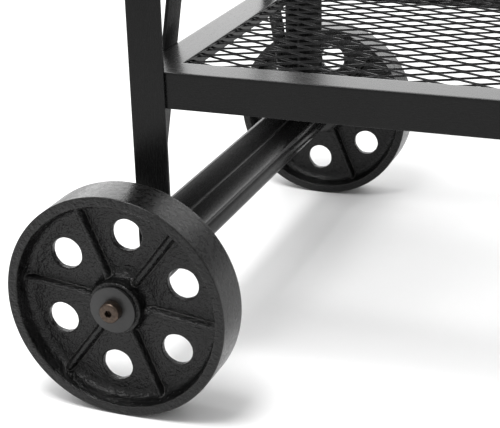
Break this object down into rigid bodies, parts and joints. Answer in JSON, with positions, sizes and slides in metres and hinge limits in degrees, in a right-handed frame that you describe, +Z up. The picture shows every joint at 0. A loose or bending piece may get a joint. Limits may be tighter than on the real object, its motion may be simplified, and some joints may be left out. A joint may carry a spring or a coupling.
{
  "type": "plant trolley",
  "caption": "Two-tier angle-iron plant trolley with expanded-mesh shelves, cast spoked-web wheels at one end, feet and a push handle at the other.",
  "frame": {"origin": "on the floor under the middle of the bounding box", "axes": "+X along the trolley towards the handle, +Y from the front side to the rear side, +Z up"},
  "size_m": [0.96, 0.6136, 0.69],
  "materials": {
    "frame_black": "satin black powder coat",
    "mesh_black": "satin black powder coat",
    "wheel_iron": "rough black casting",
    "washer_black": "satin black",
    "axle_screw_steel": "browned",
    "fastener_steel": "black oxide",
    "bush_bronze": "satin",
    "foot_rubber": "matt"
  },
  "bodies": {
    "frame": {"arm_nuts": "fastener_steel", "arm_screws": "fastener_steel", "arm_washers": "fastener_steel", "axle_beam": "frame_black", "axle_plug_front": "fastener_steel", "axle_plug_rear": "fastener_steel", "axle_screw_front": "axle_screw_steel", "axle_screw_rear": "axle_screw_steel", "axle_tube": "frame_black", "brace_handle_end_front": "frame_black", "brace_handle_end_rear": "frame_black", "brace_wheel_end_front": "frame_black", "brace_wheel_end_rear": "frame_black", "foot_beam": "frame_black", "foot_nuts": "fastener_steel", "foot_pad_front": "foot_rubber", "foot_pad_rear": "foot_rubber", "foot_plate_front": "frame_black", "foot_plate_rear": "frame_black", "foot_studs": "fastener_steel", "handle_arm_front": "frame_black", "handle_arm_rear": "frame_black", "handle_bar": "frame_black", "handle_bar_screws": "fastener_steel", "handle_plugs": "fastener_steel", "hub_washer_inner_front": "washer_black", "hub_washer_inner_rear": "washer_black", "hub_washer_outer_front": "washer_black", "hub_washer_outer_rear": "washer_black", "leg_handle_end_front": "frame_black", "leg_handle_end_rear": "frame_black", "leg_wheel_end_front": "frame_black", "leg_wheel_end_rear": "frame_black", "lower_mesh": "mesh_black", "lower_mesh_support": "frame_black", "lower_rail_front": "frame_black", "lower_rail_handle_end": "frame_black", "lower_rail_rear": "frame_black", "lower_rail_wheel_end": "frame_black", "upper_mesh": "mesh_black", "upper_mesh_support": "frame_black", "upper_rail_front": "frame_black", "upper_rail_handle_end": "frame_black", "upper_rail_rear": "frame_black", "upper_rail_wheel_end": "frame_black"},
    "front_wheel": {"wheel_front": "wheel_iron", "wheel_bush_front": "bush_bronze"},
    "rear_wheel": {"wheel_rear": "wheel_iron", "wheel_bush_rear": "bush_bronze"}
  },
  "joints": [
    {"name": "front_wheel_spin", "type": "hinge", "parent": "frame", "child": "front_wheel", "pos_m": [-0.38, -0.2775, 0.1], "axis": [0, 1, 0], "continuous": true},
    {"name": "rear_wheel_spin", "type": "hinge", "parent": "frame", "child": "rear_wheel", "pos_m": [-0.38, 0.2775, 0.1], "axis": [0, 1, 0], "continuous": true}
  ]
}
